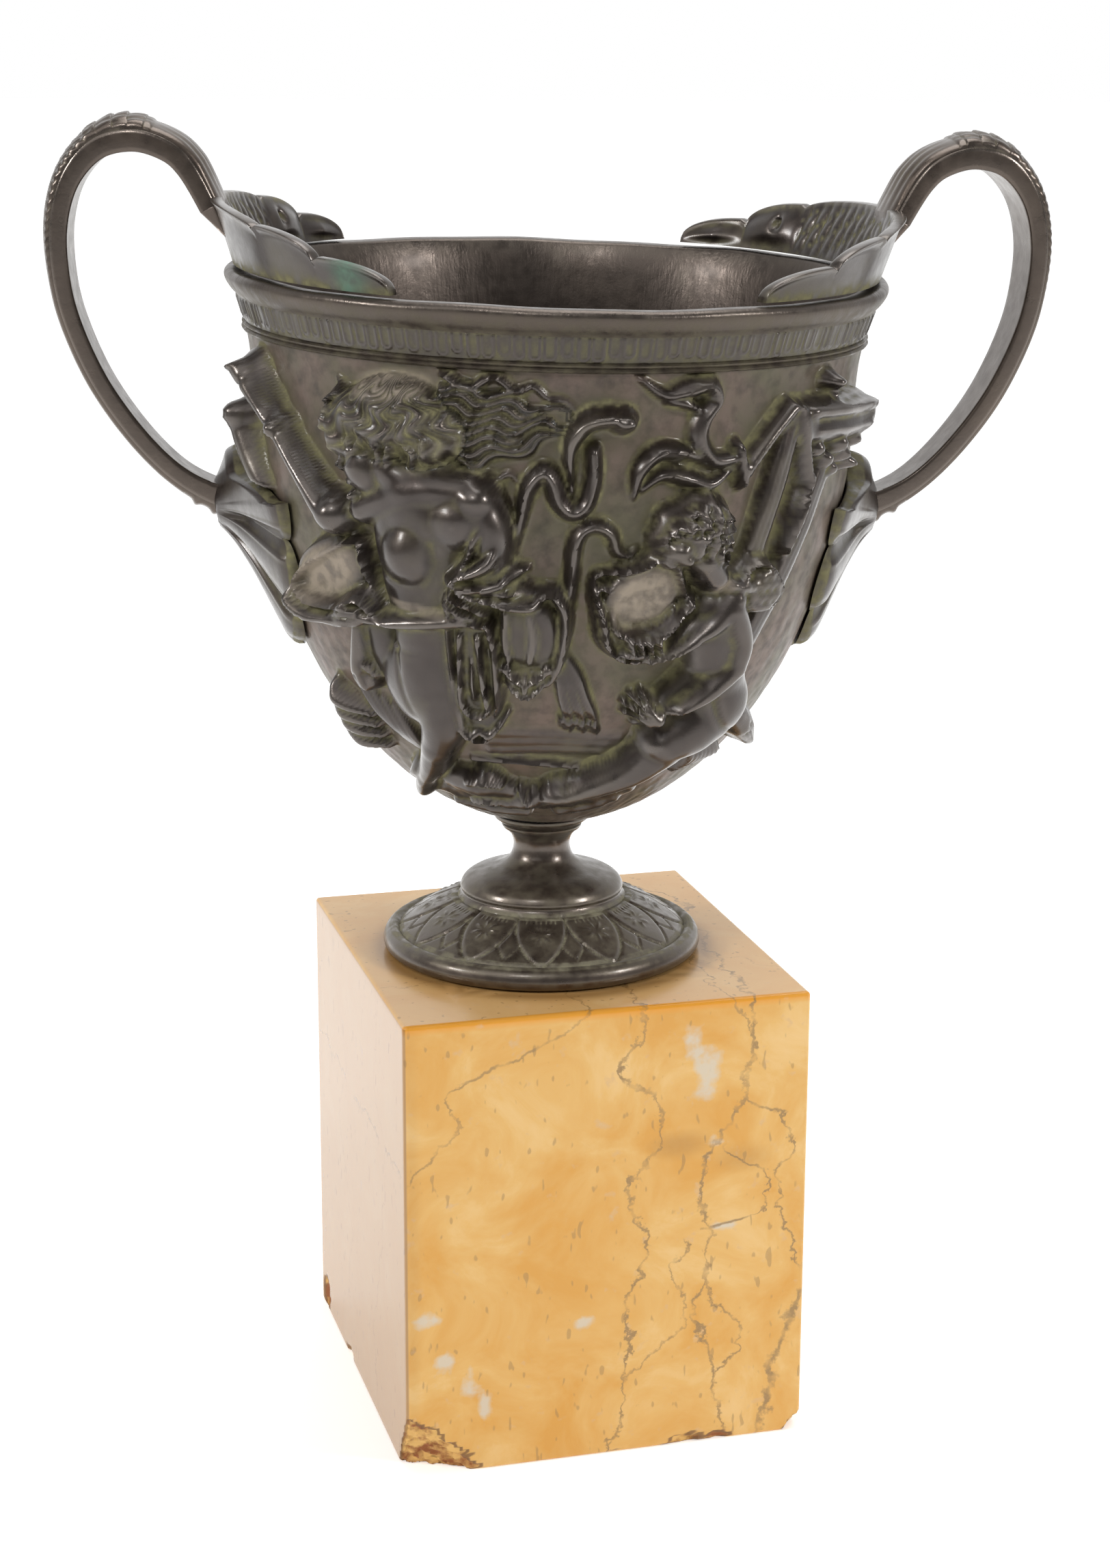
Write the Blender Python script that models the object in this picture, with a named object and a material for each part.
"""A bronze kantharos cast after the antique, on a block of yellow marble.

The plinth is a plain block with a chipped foot. On it stands the turned foot with its
engraved apron and stem. The bowl and its two handles sit a little askew on the stem, so
they hang from one empty that holds their lean and turn. The frieze of the bowl is a field of
heights over the wall, laid down limb by limb from named forms.
Lengths below are in millimetres. Meshes are scaled to metres when they are made.
"""

import math

import bmesh
import bpy
import numpy as np

MM = 0.001
GAP = 0.3  # clear distance between two pieces that touch
SEAT = 0.4  # the same between the curved back of a palmette and the round wall

# Marble block
PLINTH_WIDTH = 81.0
PLINTH_DEPTH = 86.0
PLINTH_HEIGHT = 93.0
PLINTH_TURN = 15.4  # degrees, its front left edge is turned to the viewer
PLINTH_ARRIS = 0.7

# Foot, turned about its own upright axis
FOOT_CENTRE = (-2.0, -1.0)
FOOT_RADIUS = 32.0
FOOT_RING_HEIGHT = 4.4
APRON_TOP_RADIUS = 17.0
APRON_TOP_HEIGHT = 10.6
DOME_RADIUS = 16.4
DOME_HEIGHT = 17.0
WAIST_RADIUS = 5.7
WAIST_HEIGHT = 21.0
STEM_TOP_RADIUS = 9.6
STEM_HEIGHT = 28.2  # from the top of the block to the top of the stem
APRON_LEAVES = 12
LEAF_RELIEF = 0.55
LEAF_WIDTH = 0.9  # of the room that each leaf has
LEAF_SHOULDER = 0.6  # below 1 the leaf widens fast from its point
# Outline of the outer ring: millimetres in from its radius and shares of its height
FOOT_RING_OUTLINE = ((1.2, 0.0), (0.2, 0.2), (0.0, 0.5), (0.9, 0.88), (2.2, 1.0), (2.9, 0.93))
APRON_INSET = 3.4  # from the outer ring to where the apron starts
DOME_STEP = 1.9  # height of the fillet under the dome
DOME_NECK = 1.6  # how much wider than the waist the dome ends
DOME_TURNS = (0, 25, 50, 72)  # degrees up the quarter round of the dome
# Outline of the stem's flared top: millimetres in from its radius and down from its top
STEM_TOP_OUTLINE = ((1.2, 3.2), (0.8, 2.2), (0.0, 1.0))

# Bowl, in its own frame: the axis is z and the underside is at z = 0
BOWL_LEAN = 1.4  # degrees, the right side hangs lower
BOWL_TURN = 2.0
BOWL_RADIUS = 58.0
BELLY_HEIGHT = 83.3  # the widest ring of the belly
BELLY_CURVE = 84.6  # half height of the ellipse that the belly follows
RIM_HEIGHT = 107.5
RIM_FLARE = 2.5
WALL = 2.8
FLOOR = 5.0
FRIEZE_TOP = 95.3
FRIEZE_START = 1.5
FRIEZE_FADE = 0.8
BAND_TOP = 101.8
FILLET = 0.9
RIM_CROWN = 0.4
LIP_RADIUS = 63.4
# Outline of the double fillet and the tongue band: out from the wall and up from the frieze
FILLET_OUTLINE = ((FILLET, 0.4), (FILLET, 1.7), (0.1, 2.2))
BAND_OUT = 0.7  # how far the tongue band stands out at its top
# Outline of the lip's bead: in from its outermost ring and shares of the way up from the band
BEAD_OUTLINE = ((2.4, 0.1), (0.6, 0.55), (0.0, 0.8))
BEAD_EDGE = 0.5
BEAD_CROWN = 1.6
INNER_LIP = 3.4  # depth of the sloped inner edge of the rim

# Handles
HANDLE_REACH = 94.8  # from the axis of the bowl to the middle of the strap
HANDLE_TOP = 130.7
RIGHT_HANDLE_TURN = 7.3  # degrees by which the right handle is set towards the back
ROOT_HEIGHT = 62.0  # where the strap meets its palmette on the wall
STRAP_WIDTH_TOP = 14.5
STRAP_WIDTH_ROOT = 8.6
STRAP_THICK = 4.6
STRAP_SWELL = 0.3  # how much thicker it is at its crown
ROOT_STAND = 3.9  # the middle of the strap off the wall where it sinks into its palmette
# Loop of the strap: shares of the way out from the lip and down from its top to its root
CROWN_LOOP = ((0.166, 0.09), (0.331, 0.027), (0.535, 0.0), (0.758, 0.027))
SIDE_LOOP = ((0.927, 0.117), (1.0, 0.245), (0.984, 0.391))
# and below: shares of the way out from its root, and up from there to its top
ROOT_LOOP = ((0.92, 0.47), (0.785, 0.32), (0.6, 0.185), (0.4, 0.08), (0.2, 0.015))
ROOT_SINK = (0.5, 1.5)  # inwards and down to the end inside the palmette
CREST_HEIGHT = 119.0  # top of the scalloped plate beside the strap
PLATE_THICK = 2.2
PLATE_FLARE = 0.36
PLATE_SET = 1.7  # its foot stands this far in from the lip
PLATE_LEAST = 0.5
PLATE_EDGE = 0.7  # what its top edge tapers to on the outside
# Scallops of its edge: start, end, height at the start and at the end, as shares
SCALLOPS = ((0.0, 0.50, 1.0, 0.74), (0.50, 0.75, 0.80, 0.38), (0.75, 1.0, 0.43, 0.04))
LEFT_PLATE_ENDS = (45.0, 60.0)  # degrees round the rim from the strap, clockwise and back
RIGHT_PLATE_ENDS = (63.0, 55.0)
PALMETTE_RADIUS = 30.0
PALMETTE_COLLAR = 11.0
PALMETTE_LOBES = 11
PALMETTE_FAN = math.pi / 2 * (1 + 1 / PALMETTE_LOBES)  # half angle over which it is lobed
PALMETTE_RISE = 6.4
PALMETTE_HUB = 4.0  # radius of the full rise, beyond which it falls away
PALMETTE_FALL = 8.0  # length over which it does
PALMETTE_EDGE = 2.4

# Working finish of the facets
FRIEZE_COLUMNS = 288
FRIEZE_ROW = 1.3
BOWL_FACES_KEPT = 0.078
FOOT_FACES_KEPT = 0.13
HANDLE_FACES_KEPT = 0.6

# The frieze was drawn in units of its own, with its zero below the bowl
DRAWN_UNITS = 95.3  # from the bowl's underside up to the frieze's top
UNDERSIDE_SHARE = 1.277  # from the drawing's zero to the underside, as a share of those
DRAWN_RADIUS_UNITS = 58.0  # the bowl's radius on the drawing

# Broken places: shares of half the width and half the depth and the height in millimetres of
# their middle, their half sizes in millimetres, and the degrees they are turned
CHIPS = (
    ("chip_corner", (-1.025, -1.035, -1.0), (14.0, 5.5, 12.0), 12),
    ("chip_corner_side", (-1.0, -0.884, 0.0), (3.0, 5.5, 4.5), 0),
    ("chip_right", (1.0, -1.0, 0.0), (3.4, 3.0, 3.6), 45),
    ("chip_front", (0.42, -1.0, 0.0), (5.0, 1.6, 1.7), 0),
    ("chip_front_small", (0.1, -1.0, 0.0), (2.2, 1.2, 1.3), 0),
    ("chip_left", (-1.0, 0.3, 0.0), (1.5, 4.2, 2.6), 0),
    ("chip_left_high", (-1.0, 0.88, 3.7), (1.6, 2.6, 3.0), 0),
)


def clear_scene():
    """Removes what a new file starts with."""
    for old in list(bpy.data.objects):
        bpy.data.objects.remove(old, do_unlink=True)


def make_material(name, colour, roughness, metallic):
    """A Principled material with the plain values of one finish."""
    material = bpy.data.materials.new(name)
    material.use_nodes = True
    shader = material.node_tree.nodes["Principled BSDF"]
    shader.inputs["Base Color"].default_value = (*colour, 1.0)
    shader.inputs["Roughness"].default_value = roughness
    shader.inputs["Metallic"].default_value = metallic
    return material


def make_object(name, points, faces, material):
    """An object from points in millimetres and faces, with flat ends kept sharp."""
    mesh = bpy.data.meshes.new(name)
    mesh.from_pydata((np.asarray(points) * MM).tolist(), [], faces)
    mesh.update()
    mesh.shade_smooth()
    mesh.set_sharp_from_angle(angle=math.radians(40))
    mesh.materials.append(material)
    thing = bpy.data.objects.new(name, mesh)
    bpy.context.collection.objects.link(thing)
    return thing


def keep_faces(thing, share):
    """Lets flat stretches lose faces and keeps them where the form bends."""
    thinner = thing.modifiers.new("fewer faces", "DECIMATE")
    thinner.ratio = share


def join_by(thing, other, operation):
    """Joins or cuts one solid by another, which stays out of sight."""
    change = thing.modifiers.new(other.name, "BOOLEAN")
    change.operation = operation
    change.solver = "EXACT"
    change.object = other
    other.hide_render = True
    other.display_type = "WIRE"


def ring_faces(rows, columns):
    """Quads between rows of points that each run once around, with a pole at either end."""
    faces = []
    for row in range(rows - 1):
        for i in range(columns):
            j = (i + 1) % columns
            a = 1 + row * columns
            b = a + columns
            faces.append((a + i, a + j, b + j, b + i))
    last = 1 + rows * columns
    for i in range(columns):
        j = (i + 1) % columns
        faces.append((0, 1 + j, 1 + i))
        top = 1 + (rows - 1) * columns
        faces.append((top + i, top + j, last))
    return faces


def turned_solid(name, start, radii, heights, end, material):
    """A solid of revolution from arrays of radius and height, given row by row and column by
    column, from the pole at height start on the underside to the pole at height end."""
    rows, columns = radii.shape
    angle = np.arange(columns) * (2 * math.pi / columns)
    points = np.stack([radii * np.cos(angle), radii * np.sin(angle), heights], axis=-1)
    points = np.vstack([[[0, 0, start]], points.reshape(-1, 3), [[0, 0, end]]])
    return make_object(name, points, ring_faces(rows, columns), material)


def smooth_line(points, per_span):
    """Points on the smooth line that runs through all the given ones."""
    points = np.asarray(points, float)
    if len(points) == 2:
        share = np.linspace(0, 1, per_span + 1)[:, None]
        return points[0] * (1 - share) + points[1] * share
    first = 2 * points[0] - points[1]
    last = 2 * points[-1] - points[-2]
    through = np.vstack([first, points, last])
    spans = []
    for i in range(1, len(through) - 2):
        t = np.linspace(0, 1, per_span, endpoint=False)[:, None]
        a, b, c, d = through[i - 1 : i + 3]
        bend = (2 * a - 5 * b + 4 * c - d) * t**2 + (3 * b - a - 3 * c + d) * t**3
        spans.append(0.5 * (2 * b + (c - a) * t + bend))
    return np.vstack([*spans, points[-1:]])


def wall_radius(z):
    """Radius of the outer wall: an ellipse up to the belly, then a slight flare to the rim."""
    z = np.asarray(z, float)
    below = np.clip((BELLY_HEIGHT - z) / BELLY_CURVE, 0.0, 0.9999)
    above = np.clip((z - BELLY_HEIGHT) / (BAND_TOP - BELLY_HEIGHT), 0.0, None)
    belly = BOWL_RADIUS * np.sqrt(1 - below**2)
    return np.where(z < BELLY_HEIGHT, belly, BOWL_RADIUS + RIM_FLARE * above**2)


HEIGHTS = np.linspace(0.0, RIM_HEIGHT, 900)
STEPS = np.hypot(np.diff(HEIGHTS), np.diff(wall_radius(HEIGHTS)))
ARCS = np.concatenate([[0.0], np.cumsum(STEPS)])


def arc_at(z):
    """Length along the outer wall from the underside up to height z."""
    return np.interp(z, HEIGHTS, ARCS)


def height_at(arc):
    """Height of the point that lies this far along the outer wall."""
    return np.interp(arc, ARCS, HEIGHTS)


def wall_point(azimuth, z, proud):
    """A point that stands proud of the outer wall along the wall's own normal."""
    step = 0.05
    slope = (wall_radius(z + step) - wall_radius(z - step)) / (2 * step)
    length = np.sqrt(1 + slope**2)
    radius = wall_radius(z) + proud / length
    return radius * np.cos(azimuth), radius * np.sin(azimuth), z - proud * slope / length


def palmette_reach(bearing):
    """Radius of the palmette at a bearing from straight down, lobed below and short above."""
    past_fan = np.abs((bearing + math.pi) % (2 * math.pi) - math.pi) - PALMETTE_FAN
    scallop = 0.88 + 0.12 * np.sqrt(np.abs(np.cos(bearing * PALMETTE_LOBES / 2)))
    shoulder = (0.88 * PALMETTE_RADIUS - PALMETTE_COLLAR) * np.clip(1 - past_fan / 0.6, 0, 1) ** 2
    return np.where(past_fan < 0, PALMETTE_RADIUS * scallop, PALMETTE_COLLAR + shoulder)


class Carving:
    """Heights over the wall, by angle from the front and height on the drawing."""

    def __init__(self, angles, heights):
        self.angles = angles
        self.heights = heights
        self.radii = wall_radius(heights)
        self.arcs = arc_at(heights)
        self.proud = np.zeros((len(heights), len(angles)))
        self.scale = BOWL_RADIUS / DRAWN_RADIUS_UNITS
        self.place(0.0, 1.0)

    def place(self, turn, side):
        """Sets where the next forms go: turned round the bowl, and mirrored when side is -1."""
        self.turn = turn
        self.side = side

    def on_wall(self, points):
        """Angles and heights of drawn points as they lie on this bowl."""
        points = np.atleast_2d(np.asarray(points, float))
        angle = self.turn + self.side * points[:, 0]
        share = points[:, 1] / DRAWN_UNITS - UNDERSIDE_SHARE
        return angle, share * FRIEZE_TOP

    def window(self, angle, height, pad):
        """Rows and columns near a form, its own middle angle, and the columns' angles from it."""
        middle = angle.mean()
        away = (self.angles - middle + 180.0) % 360.0 - 180.0
        narrow = max(float(wall_radius(height.min() - pad)), 8.0)
        reach = np.abs(angle - middle).max() + math.degrees(pad / narrow)
        columns = np.where(np.abs(away) <= reach)[0]
        rows = np.where((self.heights >= height.min() - pad) & (self.heights <= height.max() + pad))[0]
        return rows, columns, middle, np.radians(away[columns])

    def lay(self, rows, columns, form, soft):
        """Lays one form over what is there, with a fillet of the given softness."""
        here = self.proud[np.ix_(rows, columns)]
        share = np.clip(0.5 + 0.5 * (form - here) / soft, 0.0, 1.0)
        blend = here * (1 - share) + form * share + soft * share * (1 - share)
        self.proud[np.ix_(rows, columns)] = blend

    def limb(self, points, width, height, soft=0.8, section="round"):
        """A form along a smooth line: width is half its breadth, height its rise off the wall."""
        angle, z = self.on_wall(points)
        count = len(angle)
        knots = np.linspace(0, 1, count)
        width = np.interp(knots, np.linspace(0, 1, np.size(width)), np.atleast_1d(width)) * self.scale
        height = np.interp(knots, np.linspace(0, 1, np.size(height)), np.atleast_1d(height)) * self.scale
        pad = width.max() * 1.4 + soft
        rows, columns, middle, away = self.window(angle, z, pad)
        across = wall_radius(z) * np.radians(angle - middle)
        line = smooth_line(np.column_stack([across, arc_at(z), width, height]), 6)
        u = self.radii[rows][:, None] * away[None, :]
        v = np.broadcast_to(self.arcs[rows][:, None], u.shape)
        nearest = np.full(u.shape, 1e9)
        half = np.ones(u.shape)
        rise = np.zeros(u.shape)
        side = np.zeros(u.shape)
        for a, b in zip(line[:-1], line[1:]):
            du, dv = b[:2] - a[:2]
            t = np.clip(((u - a[0]) * du + (v - a[1]) * dv) / max(du * du + dv * dv, 1e-9), 0, 1)
            x = u - a[0] - t * du
            y = v - a[1] - t * dv
            away = np.hypot(x, y)
            closer = away < nearest
            nearest = np.where(closer, away, nearest)
            half = np.where(closer, a[2] + t * (b[2] - a[2]), half)
            rise = np.where(closer, a[3] + t * (b[3] - a[3]), rise)
            side = np.where(closer, np.sign(x * dv - y * du), side)
        share = nearest / half
        power = 4 if section == "flat" else 2
        inside = 1 - share**power
        form = rise * np.sign(inside) * np.sqrt(np.abs(inside))
        if section == "fold":
            form = form * (0.72 + 0.28 * np.cos(2 * math.pi * side * share))
        self.lay(rows, columns, form, soft)

    def oval(self, centre, across, along, tilt, height, soft=0.8, flatness=2.0, hollow=None):
        """An oval boss, flat topped for a high flatness, or a dish with a hollow depth and share."""
        angle, z = self.on_wall(centre)
        across, along, height = across * self.scale, along * self.scale, height * self.scale
        pad = max(across, along) * 1.4 + soft
        rows, columns, _, away = self.window(angle, z, pad)
        u = self.radii[rows][:, None] * away[None, :] * self.side
        v = (self.arcs[rows] - arc_at(z[0]))[:, None]
        cos, sin = math.cos(math.radians(tilt)), math.sin(math.radians(tilt))
        spread = ((u * cos + v * sin) / across) ** 2 + ((v * cos - u * sin) / along) ** 2
        inside = 1 - spread ** (flatness / 2)
        form = height * np.sign(inside) * np.sqrt(np.abs(inside))
        if hollow is None:
            self.lay(rows, columns, form, soft)
            return
        depth, share = hollow
        sunk = form - depth * np.sqrt(np.clip(1 - spread / share, 0, 1))
        self.lay(rows, columns, form, soft)
        here = self.proud[np.ix_(rows, columns)]
        self.proud[np.ix_(rows, columns)] = np.where(spread < share, sunk, here)

    def fingers(self, knuckle, tip, spread, width, height):
        """Four fingers side by side from the knuckles to their tips."""
        for i in range(4):
            drop = spread * i
            start = (knuckle[0], knuckle[1] - drop)
            middle = (0.5 * (knuckle[0] + tip[0]), 0.5 * (knuckle[1] + tip[1]) + 0.5 - drop * 1.1)
            end = (tip[0], tip[1] - drop * 1.2)
            self.limb([start, middle, end], (width, width, width * 0.7), (height, height, height - 1.2), 0.3)

    def clear_for(self, azimuth):
        """Takes the carving off the wall where a palmette sits."""
        away = np.radians((self.angles - 90.0 - azimuth + 180.0) % 360.0 - 180.0)
        u = self.radii[:, None] * away[None, :]
        v = arc_at(ROOT_HEIGHT) - self.arcs[:, None]
        reach = palmette_reach(np.arctan2(u, v)) + 1.0
        self.proud *= np.clip((np.hypot(u, v) - reach) / 1.5, 0.0, 1.0)


def carve_ground(carving):
    """Rocks and a ledge under the figures."""
    for i in range(7):
        carving.oval((-40 + 12.2 * i, 134.2 - 0.8 * (i % 2)), 5.6, 4.2, 0, 3.2 + 0.5 * (i % 3), 1.2)
    carving.limb([(-28, 140.5), (-12, 142.5), (4, 143), (20, 142)], 1.6, 1.6)
    carving.limb([(-24, 137.5), (-10, 138.5), (2, 138)], 1.4, 3.6, 0.6)
    carving.limb([(-34, 132), (-20, 130.5), (-6, 130.5)], 1.3, 3.2, 0.6)


def carve_woman(carving):
    """A bacchante seated to the left, seen from the front, with her raised arm and both legs."""
    carving.limb([(-37, 168), (-34, 158), (-30, 149)], (4.0, 4.6, 3.6), (2.6, 3.4, 3.0), 1.5)
    carving.oval((-25.5, 156), 8.5, 8.0, 0, 6.4, 2.0)
    carving.limb([(-25.5, 172), (-26.5, 163), (-26, 156)], (7.0, 7.8, 8.2), (5.4, 6.4, 6.4), 2.0)
    carving.oval((-26, 186), 10.0, 9.5, -25, 6.0, 2.0)
    carving.limb([(-27, 184), (-26, 174)], (8.4, 7.2), (5.4, 5.2), 2.0)
    for breast in ((-19.5, 189.2), (-29.8, 183.2)):
        carving.oval(breast, 5.0, 5.2, 0, 8.6, 1.6)
    carving.limb([(-31, 199), (-26.5, 193)], (3.6, 4.6), (5.2, 5.4), 1.5)
    carving.limb([(-37, 190.5), (-27, 194), (-16, 193)], (4.0, 4.2, 4.4), (4.8, 5.4, 5.6), 1.5)
    carving.limb([(-15.5, 192.5), (-13.5, 186), (-15, 178)], (4.2, 3.9, 3.6), 5.8, 1.2)
    carving.oval((-42.8, 188.6), 4.6, 4.8, 0, 6.6, 1.0)
    carving.limb([(-43.5, 188.8), (-49, 194.5), (-55.5, 200.5)], (3.9, 3.2, 2.3), (6.8, 6.4, 5.8))
    carving.limb([(-17.5, 174), (-26, 172.6), (-36, 172.4), (-42, 173)], (3.6, 3.2, 2.6, 2.2), 7.3, 0.7)
    carving.limb([(-25.5, 157), (-25, 149.5)], (6.6, 4.6), (6.6, 6.8), 1.5)
    carving.limb([(-25, 149.5), (-30, 144), (-36, 139.4)], (4.2, 3.6, 2.6), (6.8, 6.2, 5.2))
    carving.limb([(-36, 139.4), (-43, 135.8), (-50, 133.4)], (2.6, 2.8, 1.6), (5.2, 5.2, 3.6), 0.6)
    carving.oval((-33.8, 198.4), 5.4, 6.6, 25, 7.4, 1.0)
    carving.oval((-32.0, 206.8), 11.2, 7.4, 8, 7.6, 1.2)
    carving.oval((-36.5, 204.4), 8.6, 6.6, -20, 8.0, 1.0)


def carve_hair(carving):
    """Wavy locks that stream back from the woman's head."""
    share = np.linspace(0, 1, 9)
    for i in range(9):
        angle = -28 + share * (27.0 - 1.1 * abs(i - 3))
        wave = 1.15 * np.sin(share * 10.5 + i * 1.3) * np.minimum(1, share * 3)
        height = 212.5 - i * 1.45 + share * (i * 0.2 - 1.0) + wave
        carving.limb(np.column_stack([angle, height]), (1.05, 0.5), 1.2 + 4.6 * (1 - share) ** 2.2, 0.35)


def carve_horn(carving):
    """A flaring horn in the woman's raised hand."""
    line = [(-53.5, 199.2), (-60, 204.5), (-65, 208.5), (-68.5, 212)]
    carving.limb(line, (2.2, 3.0, 3.8, 5.0), (5.6, 6.2, 6.8, 7.4), 0.5)
    carving.oval((-69.6, 212.8), 4.6, 2.0, 38, 8.2, 0.3)
    carving.oval((-56.8, 202.2), 3.2, 3.4, 0, 7.4, 0.6)


def carve_dish(carving):
    """The shallow dish on the woman's forearm, with her fingers over its edge."""
    carving.oval((-46.5, 176), 12.2, 6.6, 16, 6.0, flatness=6.0, hollow=(3.4, 0.8))
    edge = [(-58, 173.5), (-54, 170.4), (-44, 169.4), (-33, 169.6), (-20, 171)]
    carving.limb(edge, (1.3, 1.7, 1.7, 1.7, 1.6), (6.2, 6.8, 6.8, 6.6, 6.0), 0.5)
    carving.fingers((-41.5, 173.8), (-48.5, 173.6), 0.9, 1.1, 8.0)


def carve_veil(carving):
    """The veil gathered over her near arm, and the folds that hang from it."""
    folds = (
        ((-19, 179.4), (-13, 183), (-8.5, 185)),
        ((-19.5, 178.6), (-11, 180.4), (-4.5, 179)),
        ((-19.5, 177.4), (-11, 177.2), (-3.0, 175.6)),
        ((-19, 176), (-13, 174.2), (-8, 170.5)),
        ((-18.5, 175), (-15, 172.2), (-12, 169)),
    )
    for fold in folds:
        carving.limb(fold, (1.5, 1.8, 1.2), (7.8, 8.0, 4.8), 0.5)
    carving.limb([(-21, 171), (-20.8, 160), (-21, 152)], (1.7, 1.8, 1.8), (5.2, 5.2, 4.4), 0.4)
    loop = [(-16.8, 170), (-18, 160), (-18.4, 155.5), (-16.4, 154.6), (-14.8, 160), (-14.2, 170)]
    carving.limb(loop, 1.2, 5.4, 0.4)
    carving.limb([(-12.2, 170), (-11.6, 160), (-12, 152.5)], (1.4, 1.6, 1.6), (4.8, 4.6, 3.8), 0.4)
    carving.limb([(-21, 151.4), (-17, 150.6), (-11.5, 152)], 1.5, (4.4, 4.4, 3.4), 0.5)


def carve_skin(carving):
    """A panther skin with its mask, hanging beside her."""
    carving.oval((-5.5, 169.5), 6.2, 8.6, 8, 3.6, 0.5, 4.0)
    edge = [(-10, 175), (-3.5, 175.6), (0.4, 172), (1.2, 166), (-0.6, 161), (-4, 157.6)]
    carving.limb(edge, (1.2, 1.6, 1.6, 1.4, 1.2, 1.0), (4.6, 5.0, 4.8, 4.4, 4.0, 3.2), 0.5)
    carving.oval((-7.2, 161.4), 4.4, 4.2, 0, 6.0, 0.4)
    carving.oval((-7.4, 159.6), 2.5, 1.9, 0, 7.0, 0.4)
    for ear in ((-11, 164.2), (-3.4, 164.6)):
        carving.oval(ear, 1.5, 1.6, 0, 5.6, 0.3)
    for i in range(4):
        tuft = [(0.5 + i * 0.8, 162), (2.5 + i * 1.8, 156), (4.5 + i * 2.6, 149.8)]
        carving.limb(tuft, (0.8, 1.2, 0.9), (1.2, 2.0, 1.4), 0.4)


def carve_neighbours(carving):
    """What shows of the next group at the left: a fist, a hanging hand, a wing and rocks."""
    for i in range(5):
        feather = [(-50 + i * 0.6, 142.5 + i * 1.6), (-58, 143.5 + i * 1.9), (-66 + i * 1.2, 146 + i * 1.6)]
        carving.limb(feather, (1.0, 1.9, 1.3), (3.0, 5.0, 3.0), 0.5)
    for i in range(4):
        start, end = (-50 + i * 3, 156 - i * 1.6), (-35 + i * 1.5, 143.5 - i * 0.5)
        strand = [start, (-43 + i * 2.4, 149 - i * 1.2), end]
        carving.limb(strand, (1.0, 1.6, 1.0), (1.2, 2.2, 1.4), 0.5)
    carving.limb([(-41.5, 168.5), (-45.5, 163), (-47.8, 157.5)], (2.6, 2.1, 1.7), (3.2, 3.8, 4.0), 0.6)
    carving.oval((-47.4, 155.8), 2.2, 2.4, 0, 5.0, 0.5)
    carving.oval((-76, 202), 3.8, 3.8, 0, 6.8, 0.6)
    carving.limb([(-76, 200), (-73, 194.5), (-69, 189)], (3.4, 3.0, 2.6), (5.4, 4.4, 3.2), 0.7)


def carve_ribbons(carving):
    """Ribbons that flutter between the figures, one held in a fist."""
    wave = [(-9.5, 184.5), (-8.6, 190), (-7, 196.6), (-4.4, 199.6), (-2.4, 197), (-0.6, 193)]
    wave += [(2.4, 191.2), (5, 194.5), (6, 200), (5, 204.6)]
    carving.limb(wave, (0.8, 1.8, 1.9, 2.1, 1.6), (1.6, 3.2, 3.0, 2.6, 3.0), 0.5, "fold")
    grip = [(0.6, 201), (2, 206), (5.4, 208.8), (9, 209)]
    carving.limb(grip, (1.4, 2.2, 2.6, 2.6), (2.6, 4.2, 5.2, 5.6), 0.6)
    carving.oval((10.6, 208.2), 2.9, 3.0, 0, 6.2, 0.5)
    carving.limb([(2.4, 207.6), (1.0, 202), (1.4, 195.4)], (1.1, 1.0, 0.7), (4.0, 3.2, 2.4), 0.4)
    hook = [(3.2, 171.5), (3.4, 178), (2.8, 184.6), (4.8, 188.6), (8, 188), (10.2, 185.2), (14, 184.4)]
    carving.limb(hook, (1.2, 2.0, 1.9, 0.8), (2.4, 3.2, 2.8, 1.6), 0.5, "fold")
    crest = [(12.5, 216.4), (17, 213.4), (21, 214.2), (24.6, 215.2), (26.4, 212.4), (24.4, 208.6)]
    crest += [(24, 204.6), (26.8, 201), (31.6, 201)]
    carving.limb(crest, (0.7, 2.0, 1.8, 2.0, 1.4), (1.6, 3.6, 3.0, 2.4), 0.5, "fold")
    flame = [(12.4, 194.4), (13.6, 200), (17, 203.2), (22, 202.6), (25.4, 200.2)]
    carving.limb(flame, (0.8, 1.6, 1.8, 1.4, 0.7), (1.6, 2.6, 3.0, 2.6, 1.4), 0.5, "fold")
    tail = [(14.2, 197), (18, 199.2), (22.5, 197.6), (27, 196.8), (31.2, 199.4)]
    carving.limb(tail, (0.7, 1.4, 1.7, 1.5, 0.9), (1.4, 2.4, 2.6, 2.4, 1.6), 0.5, "fold")


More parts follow.
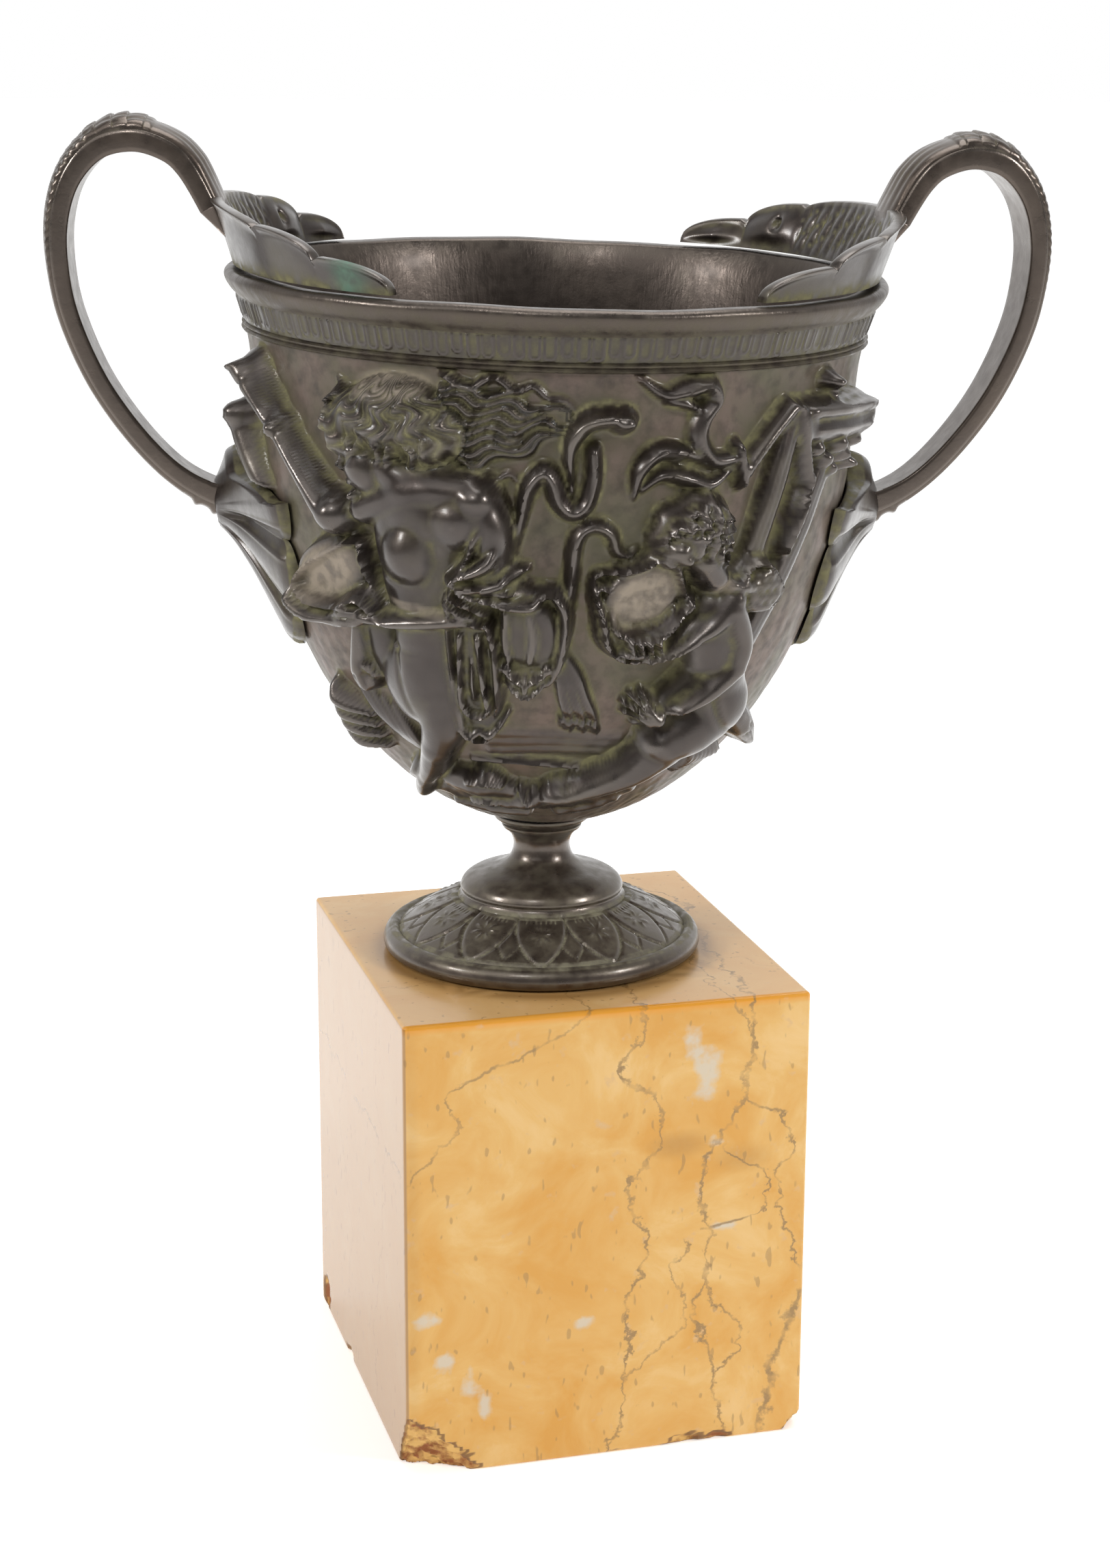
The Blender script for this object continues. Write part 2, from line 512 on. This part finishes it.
def carve_altar(carving):
    """The altar's head at the right, two slanted shafts and a twisted garland."""
    near_shaft = [(44, 207), (40.5, 195), (37.5, 183), (36, 170)]
    far_shaft = [(54, 198), (49, 186), (45, 175), (41.5, 164)]
    carving.limb(near_shaft, 2.5, (3.2, 3.2, 3.0, 2.4), 0.3, "flat")
    carving.limb(far_shaft, 2.6, (3.2, 3.0, 2.8, 2.2), 0.3, "flat")
    carving.limb([(49, 197), (46.5, 190), (45, 183)], (0.9, 1.5, 1.0), (4.6, 4.8, 3.8), 0.3)
    for share in np.linspace(0, 1, 8):
        carving.oval((33.4 + 10.2 * share, 199 + 14 * share - 3 * share**2), 1.35, 1.7, 60, 3.6, 0.3)
    for share in np.linspace(0, 1, 9):
        carving.oval((44.6 + 3.4 * share, 209.5 - 13 * share), 1.3, 1.6, 20, 4.4, 0.3)
    carving.limb([(32.2, 203.4), (33.0, 196.4)], 1.2, 3.4, 0.3)
    carving.limb([(48, 208.6), (58, 208.4), (68, 208)], 1.9, (5.6, 6.4, 6.4), 0.3, "flat")
    carving.limb([(49, 205.2), (58, 205), (66, 204.6)], 1.2, (4.8, 5.4, 5.4), 0.3)
    carving.limb([(55, 211.5), (55, 214)], (1.2, 2.4), (4.0, 4.6), 0.4)
    for i in range(5):
        carving.oval((51 + 3.4 * i, 201.0 - 1.6 * (i % 3)), 2.2, 2.3, 0, 4.6 + 0.6 * (i % 2), 0.4)


def carve_boy(carving):
    """A winged boy kneeling to the left, his legs drawn up behind him."""
    carving.oval((30.4, 173.4), 7.2, 7.4, 0, 7.4, 1.8)
    carving.limb([(30.5, 172), (33.2, 163.5), (38, 157)], (7.0, 7.2, 7.8), (7.2, 7.4, 7.6), 2.0)
    carving.oval((41.0, 155.6), 8.0, 8.2, 0, 8.4, 1.6)
    carving.limb([(38.5, 153), (32, 150), (26.5, 148.4)], (7.4, 6.2, 4.8), (8.4, 8.6, 8.0), 1.4)
    carving.limb([(27, 147.6), (21, 142.8), (12, 139.6), (4.5, 137.6)], (4.2, 4.0, 3.2, 2.4), (7.6, 5.4))
    carving.limb([(4.5, 137.6), (0, 136.4), (-3, 134.6)], (2.5, 2.6, 1.4), (5.4, 5.2, 3.6), 0.6)
    for i in range(5):
        tail = [(35 + i * 2.0, 148.6 - i * 0.4), (38.5 + i * 2.0, 144.4), (38.5 + i * 2.6, 140.4)]
        carving.limb(tail, (1.2, 1.8, 1.2), (2.6, 4.2, 3.0), 0.4)
    carving.limb([(46, 151.5), (53, 148.4), (59, 145.6)], (2.6, 3.6, 2.6), (3.4, 5.4, 5.6))
    carving.limb([(33, 177), (29.5, 171.5), (25.5, 170)], (4.2, 3.6, 3.2), (8.2, 8.6, 8.6), 0.9)
    carving.limb([(26, 170.2), (20.5, 168.6), (15.6, 167.6)], (3.2, 2.8, 2.1), (8.8, 8.8, 8.4), 0.7)
    carving.limb([(36, 173), (38.4, 168), (38, 163.4)], (4.2, 3.7, 3.3), (8.2, 8.8, 9.0), 0.9)
    carving.limb([(38, 163.4), (31.5, 159), (25.6, 156)], (3.3, 2.8, 2.1), (9.2, 8.8, 7.6), 0.7)
    carving.oval((22.6, 154.6), 2.9, 2.6, 0, 6.6, 0.6)
    carving.fingers((22, 155.6), (18.4, 156.4), 1.2, 1.0, 5.6)
    carving.oval((41.8, 177.2), 4.9, 5.2, 0, 6.4, 0.3, 6.0)
    carving.limb([(34, 179.4), (38, 178.4)], (2.2, 2.4), (7.0, 6.6), 0.6)
    carving.limb([(28.4, 180.6), (25.6, 184)], (3.8, 3.6), (7.0, 7.6), 1.0)
    carving.oval((23.6, 188.0), 6.2, 6.4, 0, 9.2, 0.9)
    carving.oval((19.0, 185.0), 3.1, 2.9, 0, 7.4, 0.9)


def carve_basket(carving):
    """The open basket that the boy holds before him."""
    carving.oval((13.2, 173.0), 9.6, 6.6, 32, 6.2, flatness=6.0, hollow=(3.6, 0.72))
    edge = [(6.6, 174.4), (8.4, 168.4), (13, 166.6), (18.6, 169.4), (23.6, 173.6)]
    carving.limb(edge, (1.8, 2.2, 2.4, 2.2, 1.6), (6.4, 7.2, 7.6, 7.4, 6.4), 0.5)
    carving.fingers((15.8, 168.6), (10.6, 168.4), 0.8, 1.1, 9.0)


FRONT = (
    carve_ground,
    carve_neighbours,
    carve_ribbons,
    carve_altar,
    carve_woman,
    carve_horn,
    carve_dish,
    carve_hair,
    carve_veil,
    carve_skin,
    carve_boy,
    carve_basket,
)
BACK = (carve_ground, carve_ribbons, carve_altar, carve_woman, carve_hair, carve_veil, carve_boy)


def carve_frieze(azimuth, heights):
    """The height field of the whole frieze, front and back, cleared under both palmettes."""
    carving = Carving(azimuth + 90.0, heights)
    for forms, turn, side in ((FRONT, 0.0, 1.0), (BACK, 180.0, -1.0)):
        carving.place(turn, side)
        for carve in forms:
            carve(carving)
    for handle in (RIGHT_HANDLE_TURN, 180.0):
        carving.clear_for(handle)
    below_top = np.clip((FRIEZE_TOP - heights) / FRIEZE_FADE, 0, 1)
    above_foot = np.clip((heights - FRIEZE_START) / (2 * FRIEZE_FADE), 0, 1)
    return carving.proud * (below_top * above_foot)[:, None]


def lip_profile():
    """Radius and height of the double fillet, the tongue band and the lip's bead, going up."""
    band = float(wall_radius(FRIEZE_TOP))
    lip = RIM_HEIGHT - BAND_TOP
    fillet = [(band + out, FRIEZE_TOP + up) for out, up in FILLET_OUTLINE]
    tongues = [(band + BAND_OUT, BAND_TOP)]
    bead = [(LIP_RADIUS - back, BAND_TOP + share * lip) for back, share in BEAD_OUTLINE]
    bead.append((LIP_RADIUS - BEAD_EDGE, RIM_HEIGHT - RIM_CROWN))
    crown = [(LIP_RADIUS - BEAD_CROWN, RIM_HEIGHT), (LIP_RADIUS - BEAD_CROWN - WALL, RIM_HEIGHT)]
    return fillet + tongues + bead + crown


def inner_profile():
    """Radius and height of the smooth inner wall, going down from the rim to the floor."""
    radius = BOWL_RADIUS - WALL
    profile = [(radius + RIM_FLARE, RIM_HEIGHT - INNER_LIP), (radius, BELLY_HEIGHT)]
    for turn in np.linspace(0.0, 0.5 * math.pi, 12)[1:-1]:
        profile.append((radius * math.cos(turn), BELLY_HEIGHT - (BELLY_HEIGHT - FLOOR) * math.sin(turn)))
    return profile


def build_bowl(material):
    """The hollow bowl with its frieze, tongue band and lip, made by turning rows of points."""
    azimuth = np.arange(FRIEZE_COLUMNS) * (360.0 / FRIEZE_COLUMNS)
    rows = int((arc_at(FRIEZE_TOP) - arc_at(FRIEZE_START)) / FRIEZE_ROW)
    heights = height_at(np.linspace(arc_at(FRIEZE_START), arc_at(FRIEZE_TOP), rows))
    proud = carve_frieze(azimuth, heights)
    x, y, z = wall_point(np.radians(azimuth)[None, :], heights[:, None], proud)
    plain = np.array([(float(wall_radius(0.0)), 0.0)])
    above = np.array(lip_profile() + inner_profile())
    around = np.ones(FRIEZE_COLUMNS)
    radii = np.vstack([plain[:, :1] * around, np.hypot(x, y), above[:, :1] * around])
    levels = np.vstack([plain[:, 1:] * around, z + 0 * x, above[:, 1:] * around])
    bowl = turned_solid("bowl", 0.0, radii, levels, FLOOR, material)
    keep_faces(bowl, BOWL_FACES_KEPT)
    return bowl


def apron_leaf(angle, share):
    """Rise of the apron at a share of the way up it: leaves side by side, their points down."""
    pitch = 2 * math.pi / APRON_LEAVES
    across = np.abs((angle / pitch + 0.5) % 1.0 - 0.5) * 2.0
    outline = LEAF_WIDTH * share**LEAF_SHOULDER
    inside = np.clip((outline - across) / 0.18, 0.0, 1.0)
    return LEAF_RELIEF * inside * np.clip(share * 8, 0, 1) * np.clip((1 - share) * 8, 0, 1)


def build_foot(material):
    """The turned foot: an outer ring, a sloping apron of leaves, a dome and a waisted stem."""
    columns = APRON_LEAVES * 12
    angle = np.arange(columns) * (2 * math.pi / columns)
    ring = [(FOOT_RADIUS - back, up * FOOT_RING_HEIGHT) for back, up in FOOT_RING_OUTLINE]
    rows = [(np.full(columns, r), np.full(columns, h)) for r, h in ring]
    apron_start = FOOT_RADIUS - APRON_INSET
    slope = (APRON_TOP_HEIGHT - FOOT_RING_HEIGHT) / (apron_start - APRON_TOP_RADIUS)
    for share in np.linspace(0.0, 1.0, 13):
        rise = apron_leaf(angle, share)
        radius = apron_start + (APRON_TOP_RADIUS - apron_start) * share
        height = FOOT_RING_HEIGHT + (APRON_TOP_HEIGHT - FOOT_RING_HEIGHT) * share
        rows.append((radius + rise * slope, height + rise))
    step = APRON_TOP_HEIGHT + DOME_STEP
    stem = [(DOME_RADIUS + 0.5, step - 1.0), (DOME_RADIUS - 0.4, step - 0.8)]
    for turn in np.radians(DOME_TURNS):
        dome = DOME_RADIUS - WAIST_RADIUS - DOME_NECK
        level = step + (DOME_HEIGHT - step) * math.sin(turn)
        stem.append((WAIST_RADIUS + DOME_NECK + dome * math.cos(turn), level))
    neck = [(WAIST_RADIUS + 1.0, DOME_HEIGHT + 0.8), (WAIST_RADIUS, WAIST_HEIGHT)]
    neck.append((WAIST_RADIUS + 0.9, WAIST_HEIGHT + 2.6))
    neck += [(STEM_TOP_RADIUS - back, STEM_HEIGHT - down) for back, down in STEM_TOP_OUTLINE]
    drop = STEM_TOP_RADIUS * math.tan(math.radians(BOWL_LEAN))
    neck.append((STEM_TOP_RADIUS, STEM_HEIGHT - GAP - drop))
    rows += [(np.full(columns, r), np.full(columns, h)) for r, h in stem + neck]
    radii = np.array([r for r, _ in rows])
    levels = np.array([h for _, h in rows])
    foot = turned_solid("foot", 0.0, radii, levels, levels[-1, 0], material)
    foot.location = (FOOT_CENTRE[0] * MM, FOOT_CENTRE[1] * MM, (PLINTH_HEIGHT + GAP) * MM)
    keep_faces(foot, FOOT_FACES_KEPT)
    return foot


def build_strap(material):
    """The looped strap of a handle: a flat band with a rounded back, swept along its loop."""
    drop = HANDLE_TOP - ROOT_HEIGHT
    span = HANDLE_REACH - LIP_RADIUS
    root = float(wall_radius(ROOT_HEIGHT)) + ROOT_STAND
    reach = HANDLE_REACH - root
    loop = [(LIP_RADIUS + GAP, CREST_HEIGHT - 0.5 * STRAP_THICK)]
    loop += [(LIP_RADIUS + out * span, HANDLE_TOP - down * drop) for out, down in CROWN_LOOP]
    loop += [(LIP_RADIUS + out * span, HANDLE_TOP - down * drop) for out, down in SIDE_LOOP]
    loop += [(root + out * reach, ROOT_HEIGHT + up * drop) for out, up in ROOT_LOOP]
    loop.append((root - ROOT_SINK[0], ROOT_HEIGHT - ROOT_SINK[1]))
    line = smooth_line(loop, 3)
    along = np.gradient(line, axis=0)
    along /= np.linalg.norm(along, axis=1)[:, None]
    outward = np.column_stack([-along[:, 1], along[:, 0]])
    length = np.concatenate([[0], np.cumsum(np.linalg.norm(np.diff(line, axis=0), axis=1))])
    share = length / length[-1]
    half = 0.5 * (STRAP_WIDTH_TOP + (STRAP_WIDTH_ROOT - STRAP_WIDTH_TOP) * share)
    swell = np.exp(-((share - 0.2) ** 2) / 0.02) + 1.3 * np.exp(-((share - 1.0) ** 2) / 0.006)
    thick = STRAP_THICK * (1 + STRAP_SWELL * swell)
    around = np.radians(np.arange(0, 180, 22.5) + 11.25)
    section = [(math.cos(t), 0.18 + 0.32 * math.sin(t)) for t in around]
    section += [(-1.0, -0.3), (-0.86, -0.5), (0.86, -0.5), (1.0, -0.3)]
    sides = len(section)
    rings = []
    for (x, z), (ox, oz), w, t in zip(line, outward, half, thick):
        rings.append([(x + ox * n * t, w * a, z + oz * n * t) for a, n in section])
    points = [p for ring in rings for p in ring]
    faces = []
    for i in range(len(rings) - 1):
        for j in range(sides):
            k = (j + 1) % sides
            faces.append((i * sides + j, (i + 1) * sides + j, (i + 1) * sides + k, i * sides + k))
    faces.append(tuple(range(sides)))
    faces.append(tuple(reversed([len(points) - sides + j for j in range(sides)])))
    return make_object("strap", points, faces, material)


def crest(share):
    """Height of the scalloped plate as a share of its crest: 0 at the strap, 1 at the far tip."""
    for start, end, high, low in SCALLOPS:
        if share <= end:
            t = (share - start) / (end - start)
            return low + (high - low) * math.sqrt(max(0.0, 1 - t**2.2))
    return 0.0


def build_plate(material, clockwise, anticlockwise):
    """The plate along the rim under the strap, which runs these degrees to either side of it."""
    base = RIM_HEIGHT + GAP
    stations = 61
    rings = []
    for i in range(stations):
        side = -1.0 + 2.0 * i / (stations - 1)
        angle = math.radians(side * (anticlockwise if side > 0 else clockwise))
        top = base + PLATE_LEAST + (CREST_HEIGHT - base) * crest(abs(side))
        ring = []
        for radius, z in ((0.0, base), (PLATE_THICK, base), (PLATE_THICK, top), (PLATE_EDGE, top)):
            r = LIP_RADIUS - PLATE_SET - PLATE_THICK + radius + PLATE_FLARE * (z - base)
            ring.append((r * math.cos(angle), r * math.sin(angle), z))
        rings.append(ring)
    points = [p for ring in rings for p in ring]
    faces = []
    for i in range(stations - 1):
        for j in range(4):
            k = (j + 1) % 4
            faces.append((i * 4 + j, i * 4 + k, i * 4 + 4 + k, i * 4 + 4 + j))
    faces.append((3, 2, 1, 0))
    faces.append(tuple(len(points) - 4 + j for j in range(4)))
    return make_object("plate", points, faces, material)


def build_palmette(material):
    """The fan of lobes on the wall below the strap, raised at the root and thin at its edge."""
    fan = np.linspace(-PALMETTE_FAN, PALMETTE_FAN, (PALMETTE_LOBES + 1) * 5 + 1)
    over = np.linspace(PALMETTE_FAN, 2 * math.pi - PALMETTE_FAN, 20)[1:-1]
    bearing = np.concatenate([fan, over])
    reach = palmette_reach(bearing)
    rib = np.abs(np.cos(bearing * PALMETTE_LOBES / 2))
    middle = arc_at(ROOT_HEIGHT)
    shells = []
    for share, full in ((0.25, 1.0), (0.5, 1.0), (0.75, 1.0), (0.93, 0.85), (1.0, 0.35)):
        radius = reach * share
        past_hub = np.maximum(radius - PALMETTE_HUB, 0)
        root = PALMETTE_RISE * np.exp(-past_hub / PALMETTE_FALL)
        lobed = PALMETTE_EDGE * (0.35 + 0.65 * rib)
        shells.append((radius, SEAT + full * (root + lobed)))
    shells += [(reach * share, np.full(len(bearing), SEAT)) for share in (1.0, 0.75, 0.5, 0.25)]
    points = [wall_point(0.0, ROOT_HEIGHT, SEAT + PALMETTE_RISE + PALMETTE_EDGE)]
    for radius, rise in shells:
        z = height_at(middle - radius * np.cos(bearing))
        azimuth = radius * np.sin(bearing) / wall_radius(z)
        points += list(zip(*wall_point(azimuth, z, rise)))
    points.append(wall_point(0.0, ROOT_HEIGHT, SEAT))
    return make_object("palmette", points, ring_faces(len(shells), len(bearing)), material)


def build_handle(name, material, azimuth, plate_ends):
    """One handle, cast in one with its rim plate and its palmette."""
    handle = build_strap(material)
    handle.name = name
    plate = build_plate(material, *plate_ends)
    palmette = build_palmette(material)
    for other in (plate, palmette):
        other.name = f"{name}_{other.name}"
        other.rotation_euler.z = azimuth
        join_by(handle, other, "UNION")
    handle.rotation_euler.z = azimuth
    keep_faces(handle, HANDLE_FACES_KEPT)
    return handle, plate, palmette


def chip(name, place, size, turn, material):
    """A rough wedge of the size given, which cuts one chip out of the block."""
    mesh = bpy.data.meshes.new(name)
    shape = bmesh.new()
    bmesh.ops.create_icosphere(shape, subdivisions=1, radius=1.0)
    for vertex in shape.verts:
        x, y, z = vertex.co
        ripple = 1 + 0.12 * math.sin(5 * x + 3 * y + place[0]) * math.cos(4 * z + place[1])
        vertex.co = (x * size[0] * ripple * MM, y * size[1] * ripple * MM, z * size[2] * ripple * MM)
    shape.to_mesh(mesh)
    shape.free()
    mesh.materials.append(material)
    cutter = bpy.data.objects.new(name, mesh)
    bpy.context.collection.objects.link(cutter)
    cutter.location = [value * MM for value in place]
    cutter.rotation_euler = (0.3, 0.2, math.radians(turn))
    return cutter


def build_plinth(material):
    """The marble block, its arrises eased, with the chips along its lower edges."""
    mesh = bpy.data.meshes.new("plinth")
    shape = bmesh.new()
    bmesh.ops.create_cube(shape, size=1.0)
    for vertex in shape.verts:
        x, y, z = vertex.co
        vertex.co = (x * PLINTH_WIDTH * MM, y * PLINTH_DEPTH * MM, (z + 0.5) * PLINTH_HEIGHT * MM)
    shape.to_mesh(mesh)
    shape.free()
    mesh.materials.append(material)
    plinth = bpy.data.objects.new("plinth", mesh)
    bpy.context.collection.objects.link(plinth)
    plinth.rotation_euler.z = math.radians(PLINTH_TURN)
    ease = plinth.modifiers.new("eased arris", "BEVEL")
    ease.width = PLINTH_ARRIS * MM
    ease.segments = 1
    for name, (across, along, up), size, turn in CHIPS:
        place = (0.5 * across * PLINTH_WIDTH, 0.5 * along * PLINTH_DEPTH, up)
        cutter = chip(name, place, size, turn, material)
        cutter.parent = plinth
        join_by(plinth, cutter, "DIFFERENCE")
    return plinth


def build():
    """Makes every piece and hangs the bowl and the handles on their leaning axis."""
    clear_scene()
    marble = make_material("yellow marble", (0.66, 0.38, 0.13), 0.28, 0.0)
    bronze_foot = make_material("patinated bronze foot", (0.045, 0.042, 0.032), 0.38, 0.7)
    bronze_bowl = make_material("patinated bronze bowl", (0.05, 0.046, 0.036), 0.36, 0.7)
    bronze_left = make_material("patinated bronze left handle", (0.042, 0.038, 0.033), 0.34, 0.7)
    bronze_right = make_material("patinated bronze right handle", (0.042, 0.038, 0.033), 0.34, 0.7)
    build_plinth(marble)
    build_foot(bronze_foot)
    axis = bpy.data.objects.new("bowl_axis", None)
    bpy.context.collection.objects.link(axis)
    stem_top = PLINTH_HEIGHT + GAP + STEM_HEIGHT
    axis.location = (FOOT_CENTRE[0] * MM, FOOT_CENTRE[1] * MM, stem_top * MM)
    axis.rotation_mode = "ZYX"
    axis.rotation_euler = (0.0, math.radians(BOWL_LEAN), math.radians(BOWL_TURN))
    bowl = build_bowl(bronze_bowl)
    left = build_handle("handle_left", bronze_left, math.pi, LEFT_PLATE_ENDS)
    right_turn = math.radians(RIGHT_HANDLE_TURN)
    right = build_handle("handle_right", bronze_right, right_turn, RIGHT_PLATE_ENDS)
    for piece in (bowl, *left, *right):
        piece.parent = axis


build()
